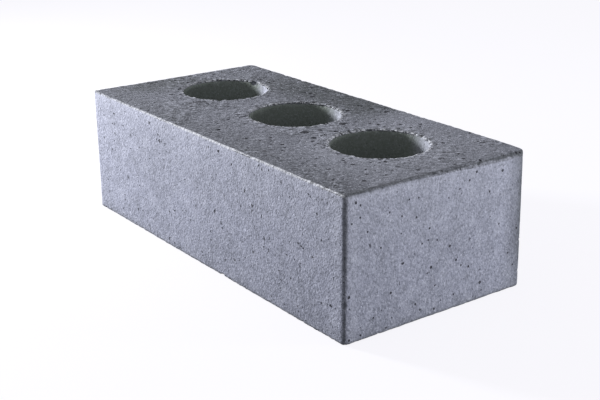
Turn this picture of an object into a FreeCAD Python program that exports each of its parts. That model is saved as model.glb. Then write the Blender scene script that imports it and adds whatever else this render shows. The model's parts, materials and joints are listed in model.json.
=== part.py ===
import FreeCAD, Part
import os

# A perforated engineering brick: one solid block of fired clay.
#
# The clay column is pushed upwards through a die, so the section is the plan of
# the brick: a rectangle with rounded corners and a row of round perforations.
# A wire cuts the column to the brick's height, which leaves the two bed faces.
# Frame: X along the length, Y along the width, Z up. The origin is the centre
# of the lower bed face. Sizes are in millimetres.

# Overall work size of the brick.
LENGTH = 215.0
WIDTH = 102.5
HEIGHT = 65.0

# The die rounds the four upright arrises of the column.
CORNER_RADIUS = 2.0

# Round perforations, which run from bed face to bed face.
PERFORATION_COUNT = 3
PERFORATION_DIAMETER = 44.5
PERFORATION_PITCH = 63.3

# The core bars of the die sit off centre, so the whole row does too:
# towards the left header face and towards the rear stretcher face.
ROW_OFFSET_X = -2.5
ROW_OFFSET_Y = 5.8

# The wire breaks the edges that it cuts, a little more at the perforations.
BED_ARRIS_BREAK = 0.4
PERFORATION_RIM_BREAK = 0.6

NODE = "brick_body"


def rounded_block():
    """The column without its perforations, with rounded upright arrises."""
    corner = FreeCAD.Vector(-LENGTH / 2, -WIDTH / 2, 0)
    block = Part.makeBox(LENGTH, WIDTH, HEIGHT, corner)
    upright = [edge for edge in block.Edges if is_upright(edge)]
    return block.makeFillet(CORNER_RADIUS, upright)


def is_upright(edge):
    """True for an edge that runs along the column."""
    direction = edge.tangentAt(edge.FirstParameter)
    return abs(direction.z) > 0.999


def on_bed_face(edge):
    """True for an edge that lies wholly in the lower or the upper bed face."""
    box = edge.BoundBox
    flat = box.ZLength < 1e-6
    return flat and min(abs(box.ZMin), abs(box.ZMin - HEIGHT)) < 1e-6


def perforation_centres():
    """Centres of the perforations in plan, from left to right."""
    first = -PERFORATION_PITCH * (PERFORATION_COUNT - 1) / 2
    return [
        FreeCAD.Vector(ROW_OFFSET_X + first + index * PERFORATION_PITCH, ROW_OFFSET_Y, 0)
        for index in range(PERFORATION_COUNT)
    ]


def perforation_core(centre):
    """The clay that one core bar displaces, flared where the wire breaks the rims."""
    radius = PERFORATION_DIAMETER / 2
    wide = radius + PERFORATION_RIM_BREAK
    up = FreeCAD.Vector(0, 0, 1)
    shaft = Part.makeCylinder(radius, HEIGHT, centre, up)
    lower_rim = Part.makeCone(wide, radius, PERFORATION_RIM_BREAK, centre, up)
    top = centre + FreeCAD.Vector(0, 0, HEIGHT)
    upper_rim = Part.makeCone(wide, radius, PERFORATION_RIM_BREAK, top, -up)
    return shaft.fuse([lower_rim, upper_rim]).removeSplitter()


def engineering_brick():
    """The whole brick as one solid."""
    block = rounded_block()
    outline = [edge for edge in block.Edges if on_bed_face(edge)]
    block = block.makeChamfer(BED_ARRIS_BREAK, outline)
    return block.cut([perforation_core(centre) for centre in perforation_centres()])


def main():
    """Builds the brick and writes it to its STEP file."""
    os.makedirs("parts", exist_ok=True)
    brick = engineering_brick()
    brick.exportStep(os.path.join("parts", NODE + ".step"))
    print(NODE, "valid", brick.isValid(), "solids", len(brick.Solids), "mm3", round(brick.Volume, 1))


main()
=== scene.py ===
"""The looks of a perforated engineering brick: worn, pitted, wire-cut fired clay.

The brick is one piece. It starts as a plain block with rounded upright
arrises and its perforations cut through, takes an even fine mesh, and is then
worn, chipped, pitted and roughened as the fired clay is. Sizes are in metres,
or in millimetres where a docstring says so, in the row's own frame: X along
the length, Y across the width, Z up.
"""

import json
import logging
import math
from dataclasses import dataclass, field
from enum import Enum
from typing import NamedTuple

import bpy
import numpy as np
from mathutils import Matrix, Vector
from mathutils.kdtree import KDTree


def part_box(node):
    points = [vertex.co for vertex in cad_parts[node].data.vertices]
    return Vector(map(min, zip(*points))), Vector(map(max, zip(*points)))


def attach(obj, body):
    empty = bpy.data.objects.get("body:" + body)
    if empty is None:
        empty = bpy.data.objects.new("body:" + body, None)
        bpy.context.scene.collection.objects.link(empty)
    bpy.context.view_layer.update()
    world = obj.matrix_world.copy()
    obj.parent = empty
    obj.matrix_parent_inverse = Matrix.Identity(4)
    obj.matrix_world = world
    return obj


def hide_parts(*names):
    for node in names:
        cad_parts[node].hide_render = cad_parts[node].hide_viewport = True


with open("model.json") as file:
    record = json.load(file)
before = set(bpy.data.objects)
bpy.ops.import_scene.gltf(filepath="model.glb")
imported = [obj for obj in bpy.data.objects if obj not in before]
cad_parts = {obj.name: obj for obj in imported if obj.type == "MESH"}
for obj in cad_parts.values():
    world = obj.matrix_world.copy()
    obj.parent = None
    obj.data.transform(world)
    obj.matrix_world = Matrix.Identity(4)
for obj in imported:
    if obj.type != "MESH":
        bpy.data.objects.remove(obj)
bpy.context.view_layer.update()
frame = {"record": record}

LOG = logging.getLogger("brick")
MM = 0.001
NODE = "brick_body"
SLOT = "fired_clay"
PIT_DEPTH = "pit_depth"
BODY = "root"
WEIGHT_STEPS = 20


class Fineness(Enum):
    """How fine the brick's mesh is: its even grid's spacing and its most triangles."""

    TRIAL = (1.3 * MM, 110_000)
    FINAL = (0.62 * MM, 192_000)

    @property
    def spacing(self) -> float:
        """Spacing of the even mesh."""
        return self.value[0]

    @property
    def triangles(self) -> int:
        """Most triangles that the finished piece keeps."""
        return self.value[1]


class Bed(Enum):
    """The two wire-cut faces, by the sign of their outward direction along Z."""

    LOWER = -1
    UPPER = 1


# ---------------------------------------------------------------- sizes


@dataclass(frozen=True)
class Perforation:
    """One round perforation, which runs from bed to bed."""

    x: float
    y: float
    radius: float

    def outside(self, points: np.ndarray) -> np.ndarray:
        """Distance of each point from the perforation's wall, into the clay."""
        return np.hypot(points[:, 0] - self.x, points[:, 1] - self.y) - self.radius


@dataclass(frozen=True)
class BrickSizes:
    """The brick's plan and height, as the frame has them."""

    low: Vector
    high: Vector
    perforations: tuple[Perforation, ...]
    arris_radius: float = 2.0 * MM

    @classmethod
    def from_frame(cls) -> "BrickSizes":
        """Reads the block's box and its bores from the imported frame.

        Returns:
            The sizes that the visual piece is built to.
        """
        low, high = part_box(NODE)
        bores = [m for m in frame["record"]["mounts"] if m["kind"] == "bore"]
        holes = tuple(
            Perforation(m["pos_m"][0], m["pos_m"][1], m["dims"]["r_mm"] * MM) for m in bores
        )
        return cls(low, high, holes)

    @property
    def centre(self) -> Vector:
        """The middle of the block."""
        return (self.low + self.high) / 2

    @property
    def size(self) -> Vector:
        """Length, width and height of the block."""
        return self.high - self.low

    def from_rims(self, points: np.ndarray) -> np.ndarray:
        """Distance of each point from the nearest perforation's wall."""
        return np.min([hole.outside(points) for hole in self.perforations], axis=0)


# ---------------------------------------------------------------- relief


@dataclass(frozen=True)
class ClayNoise:
    """Smooth random values in space, from -1 to 1, the same on each run."""

    seed: int
    grain: tuple[float, float, float]
    lattice: int = 48

    def at(self, points: np.ndarray) -> np.ndarray:
        """Reads the noise.

        Args:
            points: one row of x, y, z for each point.

        Returns:
            One value for each point.
        """
        rng = np.random.default_rng(self.seed)
        table = rng.uniform(-1.0, 1.0, (self.lattice,) * 3)
        place = points / np.array(self.grain)
        corner = np.floor(place).astype(int)
        part = place - corner
        part = part * part * (3.0 - 2.0 * part)
        total = np.zeros(len(points))
        for step in np.ndindex(2, 2, 2):
            weight = np.prod(np.where(step, part, 1.0 - part), axis=1)
            i, j, k = ((corner + step) % self.lattice).T
            total += weight * table[i, j, k]
        return total


@dataclass(frozen=True)
class EdgeWear:
    """How far one bed arris is worn round, in millimetres, from its start to its end along +X or +Y."""

    start: float
    end: float
    ragged: float

    def radius(self, along: np.ndarray, noise: np.ndarray) -> np.ndarray:
        """Radius of the worn arris.

        Args:
            along: place along the arris, from 0 to 1.
            noise: a random value for each place, from -1 to 1.

        Returns:
            The radius at each place, in metres.
        """
        smooth = np.clip(along, 0.0, 1.0)
        radius = self.start + (self.end - self.start) * smooth + self.ragged * noise
        return MM * np.clip(radius, 0.12, None)


@dataclass(frozen=True)
class Hollow:
    """A rounded hollow that a lost grain or a knock has left: the clay inside a ball is gone."""

    centre: tuple[float, float, float]
    radius: float


@dataclass(frozen=True)
class Crumbling:
    """A patch of an upper bed where the wire has torn out a crowd of grains, in millimetres."""

    x: float
    y: float
    spread: float
    grains: int


@dataclass
class ClayRelief:
    """Wears, chips and pits the brick's points. Every hollow is drawn from one seeded series."""

    sizes: BrickSizes
    inset: float
    seed: int = 11
    pits_per_bed: int = 330
    header_pits_per_cm2: float = 0.75
    stretcher_pits_per_cm2: float = 1.5
    bites_per_rim: int = 110
    chips_per_metre: float = 70.0
    front_crowding: float = 1.8
    knocks_per_upright: int = 16
    lean: float = 0.75 * MM
    lean_reach: float = 7.0 * MM
    rim_burr: float = 0.34 * MM
    lip_burr: float = 0.18 * MM
    rim_reach: float = 1.3 * MM
    lip_reach: float = 0.9 * MM
    drag_depth: float = 0.16 * MM
    arris_waves: ClayNoise = ClayNoise(3, (7 * MM,) * 3)
    arris_fray: ClayNoise = ClayNoise(4, (2.2 * MM,) * 3)
    hollow_fray: ClayNoise = ClayNoise(5, (0.9 * MM,) * 3)
    drag_lines: ClayNoise = ClayNoise(7, (1.6 * MM, 1.6 * MM, 22 * MM))
    drag_waves: ClayNoise = ClayNoise(8, (4 * MM, 4 * MM, 9 * MM))
    crumbs: ClayNoise = ClayNoise(21, (1.5 * MM,) * 3)
    crumb_patches: ClayNoise = ClayNoise(22, (6 * MM,) * 3)
    crumblings: tuple[Crumbling, ...] = (
        Crumbling(45, -15, 4.0, 22),
        Crumbling(38, -24, 3.5, 14),
        Crumbling(-31, 28, 4.5, 18),
        Crumbling(23, 45, 4.0, 16),
        Crumbling(-12, -20, 3.5, 14),
        Crumbling(-46, -20, 3.5, 9),
        Crumbling(23, 13, 3.0, 8),
        Crumbling(59, 29, 4.5, 12),
    )
    # Each bed arris goes by its face, the face's side of the brick, and its bed, as signs.
    wear: dict[tuple[str, int, int], EdgeWear] = field(
        default_factory=lambda: {
            ("stretcher", -1, 1): EdgeWear(0.15, 0.3, 0.1),
            ("stretcher", 1, 1): EdgeWear(0.2, 0.3, 0.25),
            ("header", -1, 1): EdgeWear(0.15, 0.25, 0.2),
            ("header", 1, 1): EdgeWear(0.7, 3.6, 1.1),
            ("stretcher", -1, -1): EdgeWear(0.2, 0.9, 0.3),
            ("stretcher", 1, -1): EdgeWear(0.4, 0.4, 0.4),
            ("header", -1, -1): EdgeWear(0.4, 0.4, 0.4),
            ("header", 1, -1): EdgeWear(0.15, 0.15, 0.2),
        }
    )

    def __post_init__(self) -> None:
        """Starts the seeded series that all hollows are drawn from."""
        self.rng = np.random.default_rng(self.seed)
        self.pit_depth = np.zeros(0)

    def apply(self, points: np.ndarray) -> None:
        """Gives the block's points all of their relief.

        Args:
            points: the even mesh's points, which are moved.
        """
        self.wear_arrises(points)
        self.lean_arris(points)
        self.drag_bores(points)
        self.press(points, self.chips() + self.upright_knocks() + self.rim_bites())
        before = points.copy()
        self.press(points, self.skin_pits() + self.bed_pits())
        self.pit_depth = np.linalg.norm(points - before, axis=1)
        self.raise_burrs(points)

    def wear_arrises(self, points: np.ndarray) -> None:
        """Rounds the eight bed arrises, each by its own changing radius.

        Args:
            points: the points to wear.
        """
        noise = 0.6 * self.arris_waves.at(points) + 0.6 * self.arris_fray.at(points)
        for (face, side, bed), wear in self.wear.items():
            across = 1 if face == "stretcher" else 0
            run = 1 - across
            wall = self.sizes.size[across] / 2 - self.inset
            length = self.sizes.size[run]
            along = (points[:, run] + length / 2) / length
            radius = wear.radius(along, noise)
            depth = wall - side * (points[:, across] - self.sizes.centre[across])
            level = self.bed_level(Bed(bed))
            drop = bed * (level - points[:, 2])
            reach = np.hypot(radius - depth, radius - drop)
            worn = (depth < radius) & (drop < radius) & (reach > radius)
            pull = np.where(worn, radius / np.maximum(reach, 1e-9), 1.0)
            new_depth = np.where(worn, radius - (radius - depth) * pull, depth)
            new_drop = np.where(worn, radius - (radius - drop) * pull, drop)
            points[:, across] = self.sizes.centre[across] + side * (wall - new_depth)
            points[:, 2] = level - bed * new_drop

    def lean_arris(self, points: np.ndarray) -> None:
        """Wears the rear right upright arris back, more and more towards its top.

        Args:
            points: the points to wear.
        """
        corner = self.sizes.high.xy
        gap = np.hypot(*(points[:, :2] - corner).T)
        rise = np.clip(points[:, 2] / self.sizes.size.z, 0.0, 1.0)
        push = self.lean * rise**1.5 * np.exp(-((gap / self.lean_reach) ** 2))
        points[:, :2] -= push[:, None]

    def bed_level(self, bed: Bed) -> float:
        """Works out a bed face's height before its relief.

        Args:
            bed: the bed face.

        Returns:
            Its height.
        """
        if bed is Bed.UPPER:
            return self.sizes.high.z - self.inset
        return self.sizes.low.z + 0.4 * self.inset

    def drag_bores(self, points: np.ndarray) -> None:
        """Draws the die's long upright drag lines down the perforations' walls.

        Args:
            points: the points to move.
        """
        noise = self.drag_lines.at(points) + 0.7 * self.drag_waves.at(points)
        for hole in self.sizes.perforations:
            away = points[:, :2] - (hole.x, hole.y)
            reach = np.linalg.norm(away, axis=1)
            on_wall = np.abs(reach - hole.radius) < 0.7 * MM
            push = np.where(on_wall, self.drag_depth * noise, 0.0)
            points[:, :2] += away / np.maximum(reach, 1e-9)[:, None] * push[:, None]

    def chips(self) -> list[Hollow]:
        """Small knocks along the bed arrises.

        Returns:
            One hollow for each knock.
        """
        hollows = []
        size, centre = self.sizes.size, self.sizes.centre
        for (face, side, bed), wear in self.wear.items():
            across = 1 if face == "stretcher" else 0
            run = 1 - across
            crowding = self.front_crowding if (face, side, bed) == ("stretcher", -1, 1) else 1.0
            for _ in range(int(self.chips_per_metre * crowding * size[run])):
                radius = self.rng.gamma(2.0, 0.38 * MM) + 0.4 * MM
                place = [0.0, 0.0, 0.0]
                place[run] = centre[run] + self.rng.uniform(-0.5, 0.5) * size[run]
                stand_off = radius * self.rng.uniform(0.55, 0.9) - 0.3 * wear.end * MM
                place[across] = centre[across] + side * (size[across] / 2 - self.inset + stand_off * 0.7)
                place[2] = self.bed_level(Bed(bed)) + bed * stand_off * 0.7
                hollows.append(Hollow(tuple(place), radius))
        return hollows

    def upright_knocks(self) -> list[Hollow]:
        """Small knocks along the four upright arrises.

        Returns:
            One hollow for each knock.
        """
        hollows = []
        size, centre = self.sizes.size, self.sizes.centre
        for side_x, side_y in ((-1, -1), (-1, 1), (1, -1), (1, 1)):
            for _ in range(self.knocks_per_upright):
                radius = self.rng.gamma(2.0, 0.3 * MM) + 0.5 * MM
                stand_off = radius * self.rng.uniform(0.5, 0.85) - 0.75 * MM
                x = centre.x + side_x * (size.x / 2 + 0.7 * stand_off)
                y = centre.y + side_y * (size.y / 2 + 0.7 * stand_off)
                z = self.sizes.low.z + self.rng.uniform(0.03, 0.97) * size.z
                hollows.append(Hollow((x, y, z), radius))
        return hollows

    def rim_bites(self) -> list[Hollow]:
        """The torn notches round both rims of each perforation.

        Returns:
            One hollow for each notch.
        """
        hollows = []
        for hole in self.sizes.perforations:
            for bed in Bed:
                for _ in range(self.bites_per_rim):
                    angle = self.rng.uniform(0, math.tau)
                    radius = self.rng.gamma(2.0, 0.36 * MM) + 0.42 * MM
                    reach = hole.radius - radius * self.rng.uniform(0.3, 0.8)
                    height = self.bed_level(bed) + bed.value * radius * self.rng.uniform(-0.1, 0.5)
                    place = (hole.x + reach * math.cos(angle), hole.y + reach * math.sin(angle), height)
                    hollows.append(Hollow(place, radius))
        return hollows

    def skin_pits(self) -> list[Hollow]:
        """Blow holes in the extruded faces.

        Returns:
            One hollow for each pit.
        """
        size, low = self.sizes.size, self.sizes.low
        hollows = []
        for across in (0, 1):
            run = 1 - across
            area = size[run] * size[2]
            density = self.stretcher_pits_per_cm2 if across else self.header_pits_per_cm2
            least = (0.41 if across else 0.32) * MM
            for side in (-1, 1):
                for _ in range(int(density * area * 1e4)):
                    place = [0.0, 0.0, low.z + self.rng.uniform(0.03, 0.97) * size[2]]
                    place[run] = low[run] + self.rng.uniform(0.02, 0.98) * size[run]
                    radius = min(self.rng.gamma(1.5, 0.11 * MM) + least, 0.8 * MM)
                    depth = self.inset + radius * self.rng.uniform(0.0, 0.3)
                    place[across] = self.sizes.centre[across] + side * (size[across] / 2 - depth)
                    hollows.append(Hollow(tuple(place), radius))
        return hollows

    def bed_pits(self) -> list[Hollow]:
        """Torn pits in the beds, most of them near a rim or in a crumbling patch.

        Returns:
            One hollow for each pit.
        """
        hollows = []
        crowds = [
            (MM * self.rng.normal(patch.x, patch.spread), MM * self.rng.normal(patch.y, patch.spread))
            for patch in self.crumblings
            for _ in range(patch.grains)
        ]
        for bed in Bed:
            spots = self.bed_spots(self.pits_per_bed)
            for x, y in spots + (crowds if bed is Bed.UPPER else []):
                radius = self.rng.gamma(1.6, 0.19 * MM) + 0.33 * MM
                height = self.bed_level(bed) + bed.value * radius * self.rng.uniform(-0.2, 0.5)
                hollows.append(Hollow((x, y, height), radius))
        return hollows

    def bed_spots(self, count: int) -> list[tuple[float, float]]:
        """Places on a bed face, denser towards the perforations.

        Args:
            count: how many places to draw.

        Returns:
            x and y of each place.
        """
        spots = []
        while len(spots) < count:
            x = self.rng.uniform(self.sizes.low.x, self.sizes.high.x)
            y = self.rng.uniform(self.sizes.low.y, self.sizes.high.y)
            gap = self.sizes.from_rims(np.array([[x, y, 0.0]]))[0]
            chance = 0.12 + 0.88 * math.exp(-gap / (7 * MM))
            if gap > 0 and self.rng.uniform() < chance:
                spots.append((x, y))
        return spots

    def press(self, points: np.ndarray, hollows: list[Hollow]) -> None:
        """Pushes every point that lies in a hollow out to the hollow's uneven surface.

        Args:
            points: the points to move.
            hollows: the hollows to press.
        """
        rough = 1.0 + 0.22 * self.hollow_fray.at(points)
        tree = KDTree(len(points))
        for index, point in enumerate(points):
            tree.insert(point, index)
        tree.balance()
        for hollow in hollows:
            near = [index for _, index, _ in tree.find_range(hollow.centre, hollow.radius * 1.25)]
            if not near:
                continue
            away = points[near] - hollow.centre
            reach = np.maximum(np.linalg.norm(away, axis=1), 1e-9)
            limit = hollow.radius * rough[near]
            push = np.maximum(limit / reach, 1.0)
            points[near] = np.array(hollow.centre) + away * push[:, None]

    def raise_burrs(self, points: np.ndarray) -> None:
        """Raises the broken crumbs of clay that the wire leaves along rims and the front arris.

        Args:
            points: the points to move.
        """
        noise = 0.2 + 0.7 * self.crumbs.at(points) + 0.8 * self.crumb_patches.at(points)
        crumbs = np.clip(noise, 0.0, 1.0)
        gap = np.abs(self.sizes.from_rims(points))
        drop = self.bed_level(Bed.UPPER) - points[:, 2]
        rim = np.exp(-((gap / self.rim_reach) ** 2)) * (np.abs(drop) < 0.5 * MM)
        front = points[:, 1] - self.sizes.low.y - self.inset
        lip = np.exp(-((front / self.lip_reach) ** 2)) * np.exp(-((drop / self.lip_reach) ** 2))
        points[:, 2] += crumbs * np.maximum(self.rim_burr * rim, self.lip_burr * lip)
        points[:, 1] -= self.lip_burr * crumbs * lip


@dataclass(frozen=True)
class Roughening:
    """One Displace modifier: what noise it adds, how strongly, and to which group of points."""

    name: str
    grain: float
    strength: float
    group: str
    depth: int = 1
    level: float = 0.6

    def add_to(self, piece: bpy.types.Object) -> None:
        """Adds this noise to a piece and applies it.

        Args:
            piece: the active object, which has the vertex group.
        """
        texture = bpy.data.textures.new(self.name, "CLOUDS")
        texture.noise_scale = self.grain
        texture.noise_depth = self.depth
        texture.noise_basis = "BLENDER_ORIGINAL"
        modifier = piece.modifiers.new(self.name, "DISPLACE")
        modifier.texture = texture
        modifier.texture_coords = "LOCAL"
        modifier.strength = self.strength
        modifier.mid_level = self.level
        modifier.vertex_group = self.group
        bpy.ops.object.modifier_apply(modifier=modifier.name)


# ---------------------------------------------------------------- shader


class Sum:
    """A shader value on which sums are written as Python expressions."""

    def __init__(self, tree: "ShaderTree", socket: bpy.types.NodeSocket) -> None:
        """Keeps the tree that new nodes go in and the socket that holds the value."""
        self.tree = tree
        self.socket = socket

    def _math(self, operation: str, *terms: "Sum | float") -> "Sum":
        """Adds one Math node."""
        return self.tree.add("ShaderNodeMath", {"operation": operation}, *terms)

    def __add__(self, other: "Sum | float") -> "Sum":
        """self + other."""
        return self._math("ADD", self, other)

    def __sub__(self, other: "Sum | float") -> "Sum":
        """self - other."""
        return self._math("SUBTRACT", self, other)

    def __rsub__(self, other: float) -> "Sum":
        """other - self."""
        return self._math("SUBTRACT", other, self)

    def __mul__(self, other: "Sum | float") -> "Sum":
        """self * other."""
        return self._math("MULTIPLY", self, other)

    __radd__ = __add__
    __rmul__ = __mul__

    def least(self, other: "Sum | float") -> "Sum":
        """The smaller of two values."""
        return self._math("MINIMUM", self, other)

    def most(self, other: "Sum | float") -> "Sum":
        """The larger of two values."""
        return self._math("MAXIMUM", self, other)

    def size(self) -> "Sum":
        """The value without its sign."""
        return self._math("ABSOLUTE", self)

    def rise(self, low: float, high: float) -> "Sum":
        """Goes smoothly from 0 at low to 1 at high.

        Args:
            low: the value that gives 0.
            high: the value that gives 1.

        Returns:
            The mapped value.
        """
        settings = {"interpolation_type": "SMOOTHSTEP"}
        return self.tree.add("ShaderNodeMapRange", settings, self, low, high, 0.0, 1.0)

    def fall(self, low: float, high: float) -> "Sum":
        """Goes smoothly from 1 at low to 0 at high."""
        return 1.0 - self.rise(low, high)


class ShaderTree:
    """The node tree of one material or world, with one method that adds any node."""

    def __init__(self, owner: bpy.types.Material | bpy.types.World) -> None:
        """Empties the owner's tree.

        Args:
            owner: the material or the world.
        """
        owner.use_nodes = True
        self.owner = owner
        self.nodes = owner.node_tree.nodes
        self.links = owner.node_tree.links
        self.nodes.clear()

    def node(self, kind: str, settings: dict, *inputs: object, **named: object) -> bpy.types.Node:
        """Adds a node.

        Args:
            kind: the node's type.
            settings: its own properties, which are set first.
            inputs: values or links for its first sockets, in order, with None to skip one.
            named: values or links for sockets by name, with _ for a space.

        Returns:
            The node.
        """
        node = self.nodes.new(kind)
        for key, value in settings.items():
            setattr(node, key, value)
        for socket, value in zip([s for s in node.inputs if s.enabled], inputs):
            self.feed(socket, value)
        for name, value in named.items():
            self.feed(node.inputs[name.replace("_", " ")], value)
        return node

    def feed(self, socket: bpy.types.NodeSocket, value: object) -> None:
        """Links a socket to a value's socket, or sets it.

        Args:
            socket: the input to fill.
            value: a Sum, a socket, a number, a tuple, or None to leave it.
        """
        if value is None:
            return
        if isinstance(value, Sum):
            value = value.socket
        if isinstance(value, bpy.types.NodeSocket):
            self.links.new(value, socket)
        else:
            socket.default_value = value

    def add(self, kind: str, settings: dict, *inputs: object, **named: object) -> Sum:
        """Adds a node and returns its first enabled output as a value."""
        node = self.node(kind, settings, *inputs, **named)
        return Sum(self, next(s for s in node.outputs if s.enabled))

    def noise(self, where: object, scale: float, detail: float = 2.0, rough: float = 0.55) -> Sum:
        """Smooth noise from 0 to 1.

        Args:
            where: the coordinates' socket.
            scale: features in a metre.
            detail: octaves above the first.
            rough: how strong the finer octaves are.

        Returns:
            The noise value.
        """
        settings = {"noise_dimensions": "3D"}
        return self.add(
            "ShaderNodeTexNoise", settings, Vector=where, Scale=scale, Detail=detail, Roughness=rough
        )

    def mix(self, amount: object, first: object, second: object, blend: str = "MIX") -> Sum:
        """Mixes two colours.

        Args:
            amount: how much of the second shows.
            first: the first colour, as a tuple or a link.
            second: the second colour.
            blend: the Mix node's blend type.

        Returns:
            The mixed colour.
        """
        settings = {"data_type": "RGBA", "blend_type": blend}
        node = self.node("ShaderNodeMix", settings)
        factor, a, b = (node.inputs[i] for i in (0, 6, 7))
        self.feed(factor, amount)
        self.feed(a, first)
        self.feed(b, second)
        return Sum(self, node.outputs[2])

    def layer(self, body: object, *coats: tuple[Sum, object]) -> Sum:
        """Lays coats of colour over a body colour, one after the other.

        Args:
            body: the body colour.
            coats: how strong each coat is, and its colour.

        Returns:
            The coated colour.
        """
        for amount, colour in coats:
            body = self.mix(amount, body, colour)
        return body

    def seen(self) -> Sum:
        """Tells the rays that the camera sees, straight, mirrored or through clear matter.

        Returns:
            1 for those rays and 0 for the rest.
        """
        path = self.node("ShaderNodeLightPath", {})
        names = ("Is Camera Ray", "Is Glossy Ray", "Is Transmission Ray")
        camera, glossy, through = (Sum(self, path.outputs[name]) for name in names)
        return camera.most(glossy).most(through)

    def finish(self, shader: bpy.types.Node, output: str = "ShaderNodeOutputMaterial") -> bpy.types.ID:
        """Links the last shader to the tree's output.

        Args:
            shader: the shader.
            output: the output node's type.

        Returns:
            The material or the world.
        """
        end = self.node(output, {})
        self.links.new(shader.outputs[0], end.inputs["Surface"])
        return self.owner


def srgb(red: int, green: int, blue: int) -> tuple[float, float, float, float]:
    """Turns an 8-bit screen colour into the linear colour that shaders use.

    Args:
        red: red, from 0 to 255.
        green: green, from 0 to 255.
        blue: blue, from 0 to 255.

    Returns:
        Linear red, green, blue and an alpha of 1.
    """
    shares = (value / 255 for value in (red, green, blue))
    linear = [s / 12.92 if s <= 0.04045 else ((s + 0.055) / 1.055) ** 2.4 for s in shares]
    return (*linear, 1.0)


# ---------------------------------------------------------------- finish


class Surface(NamedTuple):
    """The clay as its shader sees it: the tree, the object coordinates and the masks by name."""

    tree: ShaderTree
    where: bpy.types.NodeSocket
    masks: dict[str, Sum]


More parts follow.
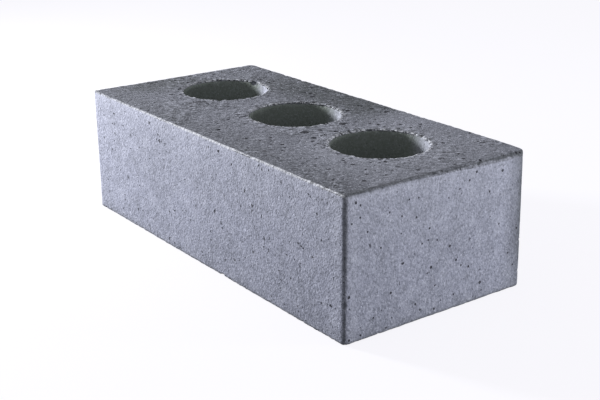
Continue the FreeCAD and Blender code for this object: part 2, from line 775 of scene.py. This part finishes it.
@dataclass(frozen=True)
class FiredClay:
    """Blue-grey fired clay: sandy extruded faces, torn wire-cut beds, arrises darkened partly by scorch
    and partly as painted shade, with painted light and shade on its faces, hollows and perforations.
    """

    sizes: BrickSizes
    skin: tuple = srgb(158, 161, 179)
    # the wire-cut beds: darker partly as the wire-cut face is, and partly as painted shade, since the
    # low lamps barely light the upper bed
    bed: tuple = srgb(119, 121, 132)
    # painted shade: the perforations' walls, darker and greener than the body, as they lie in shadow
    bore: tuple = srgb(118, 125, 120)
    # kiln scorch; this colour is also the painted shade at the feet of the faces, along the upright
    # arrises and in the hollows
    scorch: tuple = srgb(62, 66, 68)
    # painted shade in the pits
    pit: tuple = srgb(46, 46, 54)
    # pale grog grains; this colour is also the painted highlight on the upper faces and beside the near
    # arris
    speck: tuple = srgb(214, 217, 232)
    # painted highlight: the colour of the perforations' upper walls on the side where the key lamp
    # shines in
    flare: tuple = srgb(168, 170, 184)
    # pale torn clay of the lips, near white as a painted highlight where they catch the key lamp
    torn: tuple = srgb(240, 242, 250)
    wire_angle: float = 52.0
    wire_stretch: float = 2.4
    flare_angle: float = 50.0

    def material(self) -> bpy.types.Material:
        """Builds the material.

        Returns:
            The finished material.
        """
        tree = ShaderTree(bpy.data.materials.new(SLOT))
        where = tree.node("ShaderNodeTexCoord", {}).outputs["Object"]
        on = Surface(tree, where, self.masks(tree, where))
        pits, specks = self.pits(on), self.specks(on)
        height = self.height(on, pits, specks)
        bump = tree.node("ShaderNodeBump", {}, Strength=1.0, Distance=1.0 * MM, Height=height)
        shader = tree.node(
            "ShaderNodeBsdfPrincipled",
            {},
            Base_Color=self.colour(on, pits, specks),
            Roughness=0.82 + 0.12 * tree.noise(where, 500.0),
            Normal=bump.outputs[0],
            IOR=1.42,
            Specular_IOR_Level=0.35,
        )
        return tree.finish(shader)

    def masks(self, tree: ShaderTree, where: object) -> dict[str, Sum]:
        """Works out from position which part of the brick a point is on.

        Args:
            tree: the material's tree.
            where: the object coordinates.

        Returns:
            Masks and distances by name, with distances in millimetres.
        """
        axes = tree.node("ShaderNodeSeparateXYZ", {}, where)
        x, y, z = (Sum(tree, axes.outputs[i]) * (1 / MM) for i in range(3))
        length, width, height = self.sizes.size / MM
        from_header = length / 2 - x.size()
        from_stretcher = width / 2 - y.size()
        drop = height - z
        from_bed = z.least(drop)
        flare = math.radians(self.flare_angle)
        from_rim = flared = shaded = None
        for hole in self.sizes.perforations:
            radius = hole.radius / MM
            east, north = x - hole.x / MM, y - hole.y / MM
            offset = tree.add("ShaderNodeCombineXYZ", {}, east, north, 0.0)
            reach = tree.node("ShaderNodeVectorMath", {"operation": "LENGTH"}, offset)
            gap = Sum(tree, reach.outputs["Value"]) - radius
            from_rim = gap if from_rim is None else from_rim.least(gap)
            # painted highlight: this side of each perforation's upper wall, where the key lamp shines in
            along = east * math.cos(flare) + north * math.sin(flare)
            side = gap.fall(0.5, 1.0) * along.rise(0.60 * radius, 0.97 * radius)
            flared = side if flared is None else flared.most(side)
            behind = north - 0.8 * east
            rear_rim = gap.fall(0.5, 5.0) * behind.rise(0.2 * radius, 0.9 * radius)
            shaded = rear_rim if shaded is None else shaded.most(rear_rim)
        worn = 2.2 * y.rise(-30, 50) * (length / 2 - x).fall(2, 5) * z.rise(30, 40)
        bed = (from_bed - worn).fall(0.5, 1.1)
        bore = from_rim.fall(0.5, 1.0) * (1.0 - bed)
        rear = y.rise(8, 36) * x.rise(-95, -50) * x.fall(10, 42)
        left = x.fall(-98, -74) * (y + 15).size().fall(8, 32)
        torn_patch = tree.noise(where, 38.0, 1.0, 0.5).rise(0.50, 0.62)
        return {
            "x": x,
            "y": y,
            "z": z,
            "drop": drop,
            "from_header": from_header,
            "from_stretcher": from_stretcher,
            "from_rim": from_rim,
            "sunk": from_header.least(from_stretcher).least(from_bed).least(from_rim),
            "bed": bed,
            "bore": bore,
            "skin": (1.0 - bed) * (1.0 - bore),
            "near_rim": from_rim.fall(0, 16),
            "torn": (0.20 + 0.80 * from_rim.fall(0, 12)).most(torn_patch),
            "flared": flared * z.rise(height - 18, height - 8) * (1.0 - bed),
            "shaded": shaded * bed,
            "dusky": rear.most(0.84 * left) * bed,
        }

    def spots(self, tree: ShaderTree, where: object, scale: float, share: object, size: float) -> Sum:
        """Round spots in some cells of a cell pattern.

        Args:
            tree: the material's tree.
            where: the coordinates that the cells lie in.
            scale: cells in a metre.
            share: the share of cells that hold a spot, as a number or a value.
            size: a spot's radius as a share of its cell.

        Returns:
            1 in the spots and 0 between them.
        """
        settings = {"feature": "F1"}
        cells = tree.node("ShaderNodeTexVoronoi", settings, Vector=where, Scale=scale, Randomness=0.9)
        distance = Sum(tree, cells.outputs["Distance"])
        split = tree.node("ShaderNodeSeparateColor", {}, cells.outputs["Color"])
        lot, girth = (Sum(tree, split.outputs[i]) for i in range(2))
        chosen = tree.add("ShaderNodeMath", {"operation": "LESS_THAN"}, lot, share)
        edge = distance - (girth - 0.5) * (size * 0.6)
        return edge.fall(size * 0.55, size * 1.15) * chosen

    def pits(self, on: Surface) -> Sum:
        """Pits darkened with painted shade: the pressed ones, and fine ones crowded round the
        perforations.

        Args:
            on: the clay's surface.

        Returns:
            1 in the pits.
        """
        tree, where, masks = on
        on_skin = self.spots(tree, where, 270.0, 0.24, 0.16) * masks["skin"]
        share = 0.08 + 0.40 * masks["torn"]
        on_bed = self.spots(tree, where, 340.0, share, 0.27) * masks["bed"]
        fine = self.spots(tree, where, 640.0, 0.22, 0.23)
        fine = fine * (1.0 - masks["bed"] * (1.0 - masks["torn"]))
        depth = tree.node("ShaderNodeAttribute", {"attribute_name": PIT_DEPTH})
        # pressed pits get painted shade by their depth
        deep = Sum(tree, depth.outputs["Fac"]).rise(0.09 * MM, 0.36 * MM)
        return on_skin.most(on_bed).most(0.65 * fine).most(deep)

    def specks(self, on: Surface) -> Sum:
        """Pale grog grains.

        Args:
            on: the clay's surface.

        Returns:
            1 in the grains.
        """
        tree, where, masks = on
        moved = tree.node("ShaderNodeMapping", {}, Vector=where, Location=(0.31, 0.17, 0.23))
        place = moved.outputs[0]
        coarse = self.spots(tree, place, 420.0, 0.10 + 0.14 * masks["near_rim"], 0.22)
        fine = self.spots(tree, place, 900.0, 0.2, 0.3)
        return (coarse * (0.25 + 0.75 * masks["bed"])).most(0.5 * fine)

    def colour(self, on: Surface, pits: Sum, specks: Sum) -> Sum:
        """Mixes the base colour.

        Args:
            on: the clay's surface.
            pits: the pit mask.
            specks: the grain mask.

        Returns:
            The base colour.
        """
        tree, where, masks = on
        bed, bore = masks["bed"], masks["bore"]
        torn = bed * masks["torn"]
        quiet = 1.0 - 0.75 * bore * (1.0 - masks["flared"])
        bright = 0.42 * (1.0 - 0.35 * masks["dusky"])
        mottle = tree.noise(where, 340.0, 2.0, 0.6)
        crumb = tree.noise(self.dragged(on), 620.0, 2.0, 0.6)
        grain = tree.noise(where, 800.0, 2.0, 0.7)
        ragged = tree.noise(where, 300.0, 2.0, 0.6)
        plain = tree.layer(self.skin, (bed, self.bed), (bore, self.bore))
        return tree.layer(
            self.tones(on, plain),
            (mottle.rise(0.46, 0.78) * (0.20 + 0.10 * bed) * quiet, self.scorch),
            (mottle.fall(0.25, 0.52) * (0.12 + 0.06 * bed) * quiet, self.speck),
            (0.55 * crumb.rise(0.47, 0.72) * torn, self.scorch),
            (0.40 * crumb.fall(0.30, 0.52) * torn, self.speck),
            (0.44 * grain.rise(0.50, 0.72) * quiet, self.scorch),
            (bright * grain.fall(0.28, 0.50) * quiet, self.speck),
            (0.60 * specks * quiet, self.speck),
            # kiln scorch, with painted shade along the arrises, a painted contact shadow at the foot and
            # painted shade in the hollows
            (self.burnt(masks, ragged), self.scorch),
            # painted shade in the pits
            (0.92 * pits * quiet, self.pit),
            # pale torn lips, made near white as a painted highlight where they catch the key lamp
            (self.lips(on), self.torn),
        )

    def dragged(self, on: Surface) -> object:
        """Coordinates drawn out along the way that the cutting wire dragged the clay.

        Args:
            on: the clay's surface.

        Returns:
            The socket of the stretched coordinates.
        """
        settings = {"vector_type": "TEXTURE"}
        turn = (0.0, 0.0, math.radians(self.wire_angle))
        stretch = (self.wire_stretch, 1.0, 1.0)
        node = on.tree.node("ShaderNodeMapping", settings, Vector=on.where, Rotation=turn, Scale=stretch)
        return node.outputs[0]

    def tones(self, on: Surface, body: Sum) -> Sum:
        """Adds slow changes of tone over the faces: the kiln's random clouds and blotches, darker and
        paler patches on the upper bed, and painted light and shade: the extruded faces paler towards the
        top and darker towards the bottom, a painted highlight beside the near upright arris and on the
        perforations' lit upper walls.
        """
        tree, where, masks = on
        x, y, z, skin, bed = (masks[name] for name in ("x", "y", "z", "skin", "bed"))
        from_header, from_stretcher = masks["from_header"], masks["from_stretcher"]
        cloud = tree.noise(where, 38.0, 3.0, 0.5).rise(0.3, 0.7)
        blotch = tree.noise(where, 150.0, 2.0, 0.6)
        # painted light and shade: the extruded faces paler towards the top and darker towards the
        # bottom, as the light falls off down them
        painted_light_up = 0.13 * z.rise(22, 60) + 0.14 * z.rise(56, 64)
        painted_shade_down = 0.10 * z.fall(4, 28) + 0.16 * z.fall(0, 7)
        # painted highlight: a paler band beside the near upright arris, on both faces
        beside_header = from_header.rise(2, 4.5) * from_header.fall(5, 11)
        beside_stretcher = from_stretcher.rise(2, 4.5) * from_stretcher.fall(5, 9)
        arris_highlight = beside_header.most(beside_stretcher) * x.rise(0, 20) * y.fall(-20, 0)
        edges = y.fall(-46, -26).most(x.fall(-106, -60))
        right = x.rise(15, 80) * y.rise(-46, -26)
        round_rims = masks["near_rim"] * x.rise(-60, 60)
        rear_right = x.rise(12, 30) * x.fall(42, 62) * y.rise(18, 36)
        # painted highlight on the perforations' lit upper walls, weaker on the middle and right ones
        flared = masks["flared"] * (1.0 - 0.24 * x.rise(-40, -10))
        return tree.layer(
            body,
            (0.14 * cloud, self.scorch),
            (0.16 * blotch.rise(0.50, 0.72) * skin, self.scorch),
            (0.16 * blotch.fall(0.28, 0.50) * skin, self.speck),
            (painted_light_up * skin, self.speck),
            (painted_shade_down * skin, self.scorch),
            (0.10 * arris_highlight * skin, self.speck),
            (0.88 * masks["dusky"], self.scorch),
            (0.28 * edges * bed, self.scorch),
            (0.12 * (right + round_rims) * bed, self.speck),
            (0.66 * masks["shaded"], self.scorch),
            (0.14 * rear_right * bed, self.speck),
            (flared, self.flare),
        )

    def burnt(self, masks: dict[str, Sum], ragged: Sum) -> Sum:
        """Where the clay is made dark: the kiln's scorch at the rear right and under the right header's
        top, scorch and painted shade along the upright arrises, a painted contact shadow over some wear
        along its foot, and painted shade in its hollows.

        Args:
            masks: the masks by name.
            ragged: a noise value that frays the borders.

        Returns:
            How dark the clay is made, from 0 to 1.
        """
        y, z, right = masks["y"], masks["z"], masks["x"].rise(0, 10)
        from_header, from_stretcher = masks["from_header"], masks["from_stretcher"]
        fray = ragged - 0.5
        # darker along the upright arrises: some scorch, and painted shade where the lamps do not reach;
        # stronger towards the top
        arris = (from_header.most(0.0) + from_stretcher.most(0.0)).fall(0.6, 2.5)
        arris = arris * (0.42 + 0.50 * z.rise(18, 55))
        far = y.rise(0, 10) * right * from_header.fall(1, 12)
        frayed = from_stretcher + 3.0 * fray
        rear = 0.34 * frayed.fall(0, 5) + 0.56 * frayed.fall(1, 15)
        rear = rear * (0.55 + 0.45 * z.rise(6, 25))
        upright = arris.most(rear * far) * (1.0 - masks["bed"])
        brow = (masks["drop"] + 4.2 * fray).fall(0, 2.6) * from_header.fall(1.5, 4) * right
        brow = brow * (0.35 + 0.65 * y.fall(-10, 25))
        # a painted contact shadow along the foot, over some wear
        foot = (z + 1.4 * fray).fall(0.2, 2)
        # painted shade in the hollows that sink below the faces
        sunk = (masks["sunk"] + 0.3 * fray).rise(0.36, 0.85)
        return upright.most(0.5 * brow).most(0.5 * foot).most(0.7 * sunk)

    def lips(self, on: Surface) -> Sum:
        """The pale torn lips of clay along the front upper arris and the upper rims, made near white as
        a painted highlight where they catch the key lamp.

        Args:
            on: the clay's surface.

        Returns:
            How pale the clay is there, from 0 to 1.
        """
        tree, where, masks = on
        x, drop = masks["x"], masks["drop"]
        crumbs = tree.noise(where, 650.0, 2.0, 0.6)
        front = masks["from_stretcher"].fall(0.3, 1.3) * masks["y"].fall(-10, 0) * drop.fall(0.5, 1.4)
        front = front * crumbs.rise(0.27, 0.56) * (0.33 + 0.40 * x.rise(-95, -10))
        rim = masks["from_rim"].fall(0.5, 2.4) * drop.fall(0.4, 1.2)
        rim = rim * crumbs.rise(0.44, 0.60) * (0.62 + 0.25 * x.rise(20, 60))
        return front.most(rim)

    def height(self, on: Surface, pits: Sum, specks: Sum) -> Sum:
        """Adds up the relief that is finer than the mesh, in thousandths of a metre.

        Args:
            on: the clay's surface.
            pits: the pit mask.
            specks: the grain mask.

        Returns:
            The bump height.
        """
        tree, where, masks = on
        sand = tree.noise(where, 1300.0, 1.0, 0.5)
        lumps = tree.noise(self.dragged(on), 560.0, 2.0, 0.6)
        lumpy = 0.26 + 0.95 * masks["bed"] * masks["torn"]
        quiet = 1.0 - 0.6 * masks["bore"]
        return quiet * (0.32 * sand + lumpy * lumps + 0.08 * specks - 0.45 * pits)


# ---------------------------------------------------------------- brick


@dataclass
class BrickBody:
    """The whole brick, one fired piece."""

    sizes: BrickSizes
    fineness: Fineness
    inset: float = 0.10 * MM
    arris_segments: int = 6
    bore_segments: int = 160
    roughenings: tuple[Roughening, ...] = (
        Roughening("slow_warp", 28 * MM, 0.22 * MM, "all"),
        Roughening("bed_lumps", 2.6 * MM, 0.42 * MM, "beds", 2),
        Roughening("skin_grain", 2.0 * MM, 0.10 * MM, "skin", 2),
        Roughening("rim_tears", 1.6 * MM, 0.70 * MM, "rims", 2),
    )

    def build(self) -> bpy.types.Object:
        """Models the brick.

        Returns:
            The finished piece, at the origin.
        """
        piece = self.block()
        for hole in self.sizes.perforations:
            self.pierce(piece, hole)
        self.even_mesh(piece)
        self.weather(piece)
        self.roughen(piece)
        self.thin(piece)
        self.keep_in_box(piece)
        return piece

    def block(self) -> bpy.types.Object:
        """Adds the block, a relief's depth small, and rounds its upright arrises.

        Returns:
            The block.
        """
        bpy.ops.object.select_all(action="DESELECT")
        size = self.sizes.size - Vector((2, 2, 1.4)) * self.inset
        centre = self.sizes.centre - Vector((0, 0, 0.3 * self.inset))
        bpy.ops.mesh.primitive_cube_add(size=1.0, location=centre, scale=size)
        bpy.ops.object.transform_apply(location=True, rotation=True, scale=True)
        piece = bpy.context.object
        piece.name = "fired_brick"
        piece.data.name = "fired_brick"
        bpy.ops.object.mode_set(mode="EDIT")
        bpy.ops.mesh.select_mode(type="EDGE")
        bpy.ops.mesh.select_all(action="DESELECT")
        bpy.ops.object.mode_set(mode="OBJECT")
        for edge in piece.data.edges:
            ends = [piece.data.vertices[i].co for i in edge.vertices]
            edge.select = abs(ends[0].z - ends[1].z) > self.inset
        bpy.ops.object.mode_set(mode="EDIT")
        bpy.ops.mesh.bevel(
            offset=self.sizes.arris_radius, segments=self.arris_segments, affect="EDGES"
        )
        bpy.ops.object.mode_set(mode="OBJECT")
        return piece

    def pierce(self, piece: bpy.types.Object, hole: Perforation) -> None:
        """Cuts one perforation through the block.

        Args:
            piece: the block.
            hole: the perforation to cut.
        """
        bpy.ops.object.select_all(action="DESELECT")
        bpy.ops.mesh.primitive_cylinder_add(
            vertices=self.bore_segments,
            radius=hole.radius + self.inset / 2,
            depth=self.sizes.size.z * 1.5,
            location=(hole.x, hole.y, self.sizes.centre.z),
        )
        cutter = bpy.context.object
        modifier = piece.modifiers.new("perforation", "BOOLEAN")
        modifier.operation = "DIFFERENCE"
        modifier.solver = "EXACT"
        modifier.object = cutter
        self.apply(piece, modifier)
        bpy.data.objects.remove(cutter)

    def even_mesh(self, piece: bpy.types.Object) -> None:
        """Gives the block an even fine mesh.

        Args:
            piece: the block.
        """
        modifier = piece.modifiers.new("even_mesh", "REMESH")
        modifier.mode = "VOXEL"
        modifier.voxel_size = self.fineness.spacing
        modifier.adaptivity = 0.0
        self.apply(piece, modifier)

    def weather(self, piece: bpy.types.Object) -> None:
        """Wears, chips and pits the mesh.

        Args:
            piece: the evenly meshed brick.
        """
        relief = ClayRelief(self.sizes, self.inset)
        points = self.points_of(piece)
        relief.apply(points)
        self.set_points(piece, points)
        depth = piece.data.attributes.new(PIT_DEPTH, "FLOAT", "POINT")
        depth.data.foreach_set("value", relief.pit_depth.astype(np.float32))

    def roughen(self, piece: bpy.types.Object) -> None:
        """Adds the clay's grain, coarse on the beds and at the rims.

        Args:
            piece: the weathered brick.
        """
        points = self.points_of(piece)
        from_bed = np.minimum(points[:, 2] - self.sizes.low.z, self.sizes.high.z - points[:, 2])
        gap = np.abs(self.sizes.from_rims(points))
        bed = np.clip(1.0 - (from_bed - 0.5 * MM) / (0.8 * MM), 0.0, 1.0)
        groups = {
            "all": np.ones(len(points)),
            "beds": bed,
            "skin": 1.0 - bed,
            "rims": bed * np.exp(-((gap / (2.5 * MM)) ** 2)),
        }
        for name, weights in groups.items():
            self.weigh(piece, name, weights)
        bpy.context.view_layer.objects.active = piece
        for roughening in self.roughenings:
            roughening.add_to(piece)
        piece.vertex_groups.clear()

    def weigh(self, piece: bpy.types.Object, name: str, weights: np.ndarray) -> None:
        """Makes a vertex group from a weight for each point, in even steps.

        Args:
            piece: the brick.
            name: the group's name.
            weights: one weight for each point.
        """
        group = piece.vertex_groups.new(name=name)
        levels = np.round(weights * WEIGHT_STEPS).astype(int)
        for level in range(1, WEIGHT_STEPS + 1):
            chosen = np.flatnonzero(levels == level).tolist()
            if chosen:
                group.add(chosen, level / WEIGHT_STEPS, "REPLACE")

    def thin(self, piece: bpy.types.Object) -> None:
        """Thins the mesh where it is flat, turns its normals outwards and smooths its shading.

        Args:
            piece: the roughened brick.
        """
        triangles = sum(len(polygon.vertices) - 2 for polygon in piece.data.polygons)
        modifier = piece.modifiers.new("thin", "DECIMATE")
        modifier.ratio = min(1.0, self.fineness.triangles / triangles)
        modifier.use_collapse_triangulate = True
        self.apply(piece, modifier)
        bpy.ops.object.mode_set(mode="EDIT")
        bpy.ops.mesh.select_all(action="SELECT")
        bpy.ops.mesh.normals_make_consistent(inside=False)
        bpy.ops.object.mode_set(mode="OBJECT")
        bpy.ops.object.shade_smooth()

    def keep_in_box(self, piece: bpy.types.Object) -> None:
        """Holds every point within the brick's stated size.

        Args:
            piece: the thinned brick.
        """
        points = self.points_of(piece)
        self.set_points(piece, np.clip(points, self.sizes.low, self.sizes.high))

    def dress(self, piece: bpy.types.Object) -> None:
        """Gives the brick its fired clay finish.

        Args:
            piece: the finished brick.
        """
        piece.data.materials.clear()
        piece.data.materials.append(FiredClay(self.sizes).material())

    def apply(self, piece: bpy.types.Object, modifier: bpy.types.Modifier) -> None:
        """Makes a piece the only selected and active object and applies its modifier.

        Args:
            piece: the piece.
            modifier: its modifier.
        """
        bpy.ops.object.select_all(action="DESELECT")
        piece.select_set(True)
        bpy.context.view_layer.objects.active = piece
        bpy.ops.object.modifier_apply(modifier=modifier.name)

    def points_of(self, piece: bpy.types.Object) -> np.ndarray:
        """Reads the mesh's points.

        Args:
            piece: the piece.

        Returns:
            One row of x, y, z for each point.
        """
        flat = np.empty(len(piece.data.vertices) * 3)
        piece.data.vertices.foreach_get("co", flat)
        return flat.reshape(-1, 3)

    def set_points(self, piece: bpy.types.Object, points: np.ndarray) -> None:
        """Moves the mesh's points to new places."""
        piece.data.vertices.foreach_set("co", points.astype(np.float32).ravel())
        piece.data.update()


# ---------------------------------------------------------------- stage


@dataclass(frozen=True)
class Lamp:
    """A soft square lamp that shines at a point."""

    name: str
    bearing: float
    height: float
    distance: float
    side: float
    power: float
    colour: tuple[float, float, float] = (1.0, 1.0, 1.0)
    aim: tuple[float, float, float] = (0.0, 0.0, 0.04)

    def build(self) -> bpy.types.Object:
        """Adds the lamp.

        Returns:
            The lamp's object.
        """
        light = bpy.data.lights.new(self.name, "AREA")
        light.shape = "SQUARE"
        light.size = self.side
        light.energy = self.power
        light.color = self.colour
        lamp = bpy.data.objects.new(self.name, light)
        angle = math.radians(self.bearing)
        lamp.location = (
            self.aim[0] + self.distance * math.cos(angle),
            self.aim[1] + self.distance * math.sin(angle),
            self.height,
        )
        ray = Vector(self.aim) - lamp.location
        lamp.rotation_euler = ray.to_track_quat("-Z", "Y").to_euler()
        bpy.context.scene.collection.objects.link(lamp)
        return lamp


@dataclass(frozen=True)
class StudioFloor:
    """A plain pale floor, seen near white, that keeps the brick's shadow."""

    half_side: float = 4.0
    paint: tuple = srgb(110, 110, 115)
    seen: tuple = srgb(252, 251, 255)
    lift: float = 0.886

    def build(self) -> bpy.types.Object:
        """Adds the floor.

        Returns:
            The floor's object.
        """
        bpy.ops.object.select_all(action="DESELECT")
        bpy.ops.mesh.primitive_plane_add(size=2 * self.half_side, location=(0, 0, 0))
        floor = bpy.context.object
        floor.name = "studio_floor"
        floor.data.materials.append(self.material())
        return floor

    def material(self) -> bpy.types.Material:
        """Pale paint, lifted towards white where the camera or a reflection sees it.

        Returns:
            The material.
        """
        tree = ShaderTree(bpy.data.materials.new("studio_floor"))
        paint = tree.node("ShaderNodeBsdfDiffuse", {}, Color=self.paint)
        glow = tree.node("ShaderNodeEmission", {}, Color=self.seen, Strength=self.lift)
        both = tree.node("ShaderNodeAddShader", {}, paint.outputs[0], glow.outputs[0])
        shader = tree.node("ShaderNodeMixShader", {}, tree.seen(), paint.outputs[0], both.outputs[0])
        return tree.finish(shader)


@dataclass(frozen=True)
class CameraStand:
    """The camera's place, given by its bearing, elevation and distance from an aim point."""

    bearing: float = 53.68
    elevation: float = 19.54
    roll: float = -0.40
    distance: float = 0.5619
    right: float = 0.0049
    up: float = 0.0208
    lens: float = 66.76
    sensor: float = 36.0

    def build(self) -> bpy.types.Object:
        """Adds the camera and makes it the scene's own.

        Returns:
            The camera's object.
        """
        turn = math.radians(self.bearing)
        tilt = math.radians(self.elevation)
        back = Vector(
            (math.sin(turn) * math.cos(tilt), -math.cos(turn) * math.cos(tilt), math.sin(tilt))
        )
        side = Vector((math.cos(turn), math.sin(turn), 0.0))
        axes = Matrix((side, back.cross(side), back)).transposed()
        axes = axes @ Matrix.Rotation(math.radians(self.roll), 3, "Z")
        camera = bpy.data.objects.new("camera", bpy.data.cameras.new("camera"))
        camera.data.lens = self.lens
        camera.data.sensor_width = self.sensor
        camera.data.clip_start = 0.01
        place = axes @ Vector((self.right, self.up, self.distance))
        camera.matrix_world = Matrix.Translation(place) @ axes.to_4x4()
        bpy.context.scene.collection.objects.link(camera)
        bpy.context.scene.camera = camera
        return camera


@dataclass(frozen=True)
class Studio:
    """The floor, the lamps, the surrounding light and the camera."""

    surround: float = 0.44
    surround_colour: tuple = (0.97, 0.98, 1.0, 1.0)
    lamps: tuple[Lamp, ...] = (
        Lamp("key_from_left", 208.0, 0.185, 0.66, 0.10, 7.6, (0.97, 0.98, 1.0)),
        Lamp("fill_from_rear_right", 42.0, 0.045, 0.75, 0.14, 4.6, (0.97, 0.98, 1.0)),
    )

    def build(self) -> None:
        """Sets up everything that lights and sees the brick."""
        StudioFloor().build()
        for lamp in self.lamps:
            lamp.build()
        CameraStand().build()
        self.light_surround()
        bpy.context.scene.view_settings.view_transform = "Standard"

    def light_surround(self) -> None:
        """Lights the scene evenly from all round, and shows white where the camera sees past it."""
        tree = ShaderTree(bpy.data.worlds.new("surround"))
        light = tree.node("ShaderNodeBackground", {}, Color=self.surround_colour, Strength=self.surround)
        white = tree.node("ShaderNodeBackground", {}, Color=StudioFloor.seen, Strength=1.0)
        mixed = tree.node("ShaderNodeMixShader", {}, tree.seen(), light.outputs[0], white.outputs[0])
        bpy.context.scene.world = tree.finish(mixed, "ShaderNodeOutputWorld")


def main() -> None:
    """Builds the brick and its studio, and reports the piece."""
    logging.basicConfig(level=logging.INFO, format="%(name)s: %(message)s")
    sizes = BrickSizes.from_frame()
    brick = BrickBody(sizes, Fineness.FINAL)
    piece = brick.build()
    brick.dress(piece)
    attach(piece, BODY)
    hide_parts(NODE)
    LOG.info("%s: %d triangles", piece.name, len(piece.data.polygons))
    Studio().build()


if __name__ == "__main__":
    main()
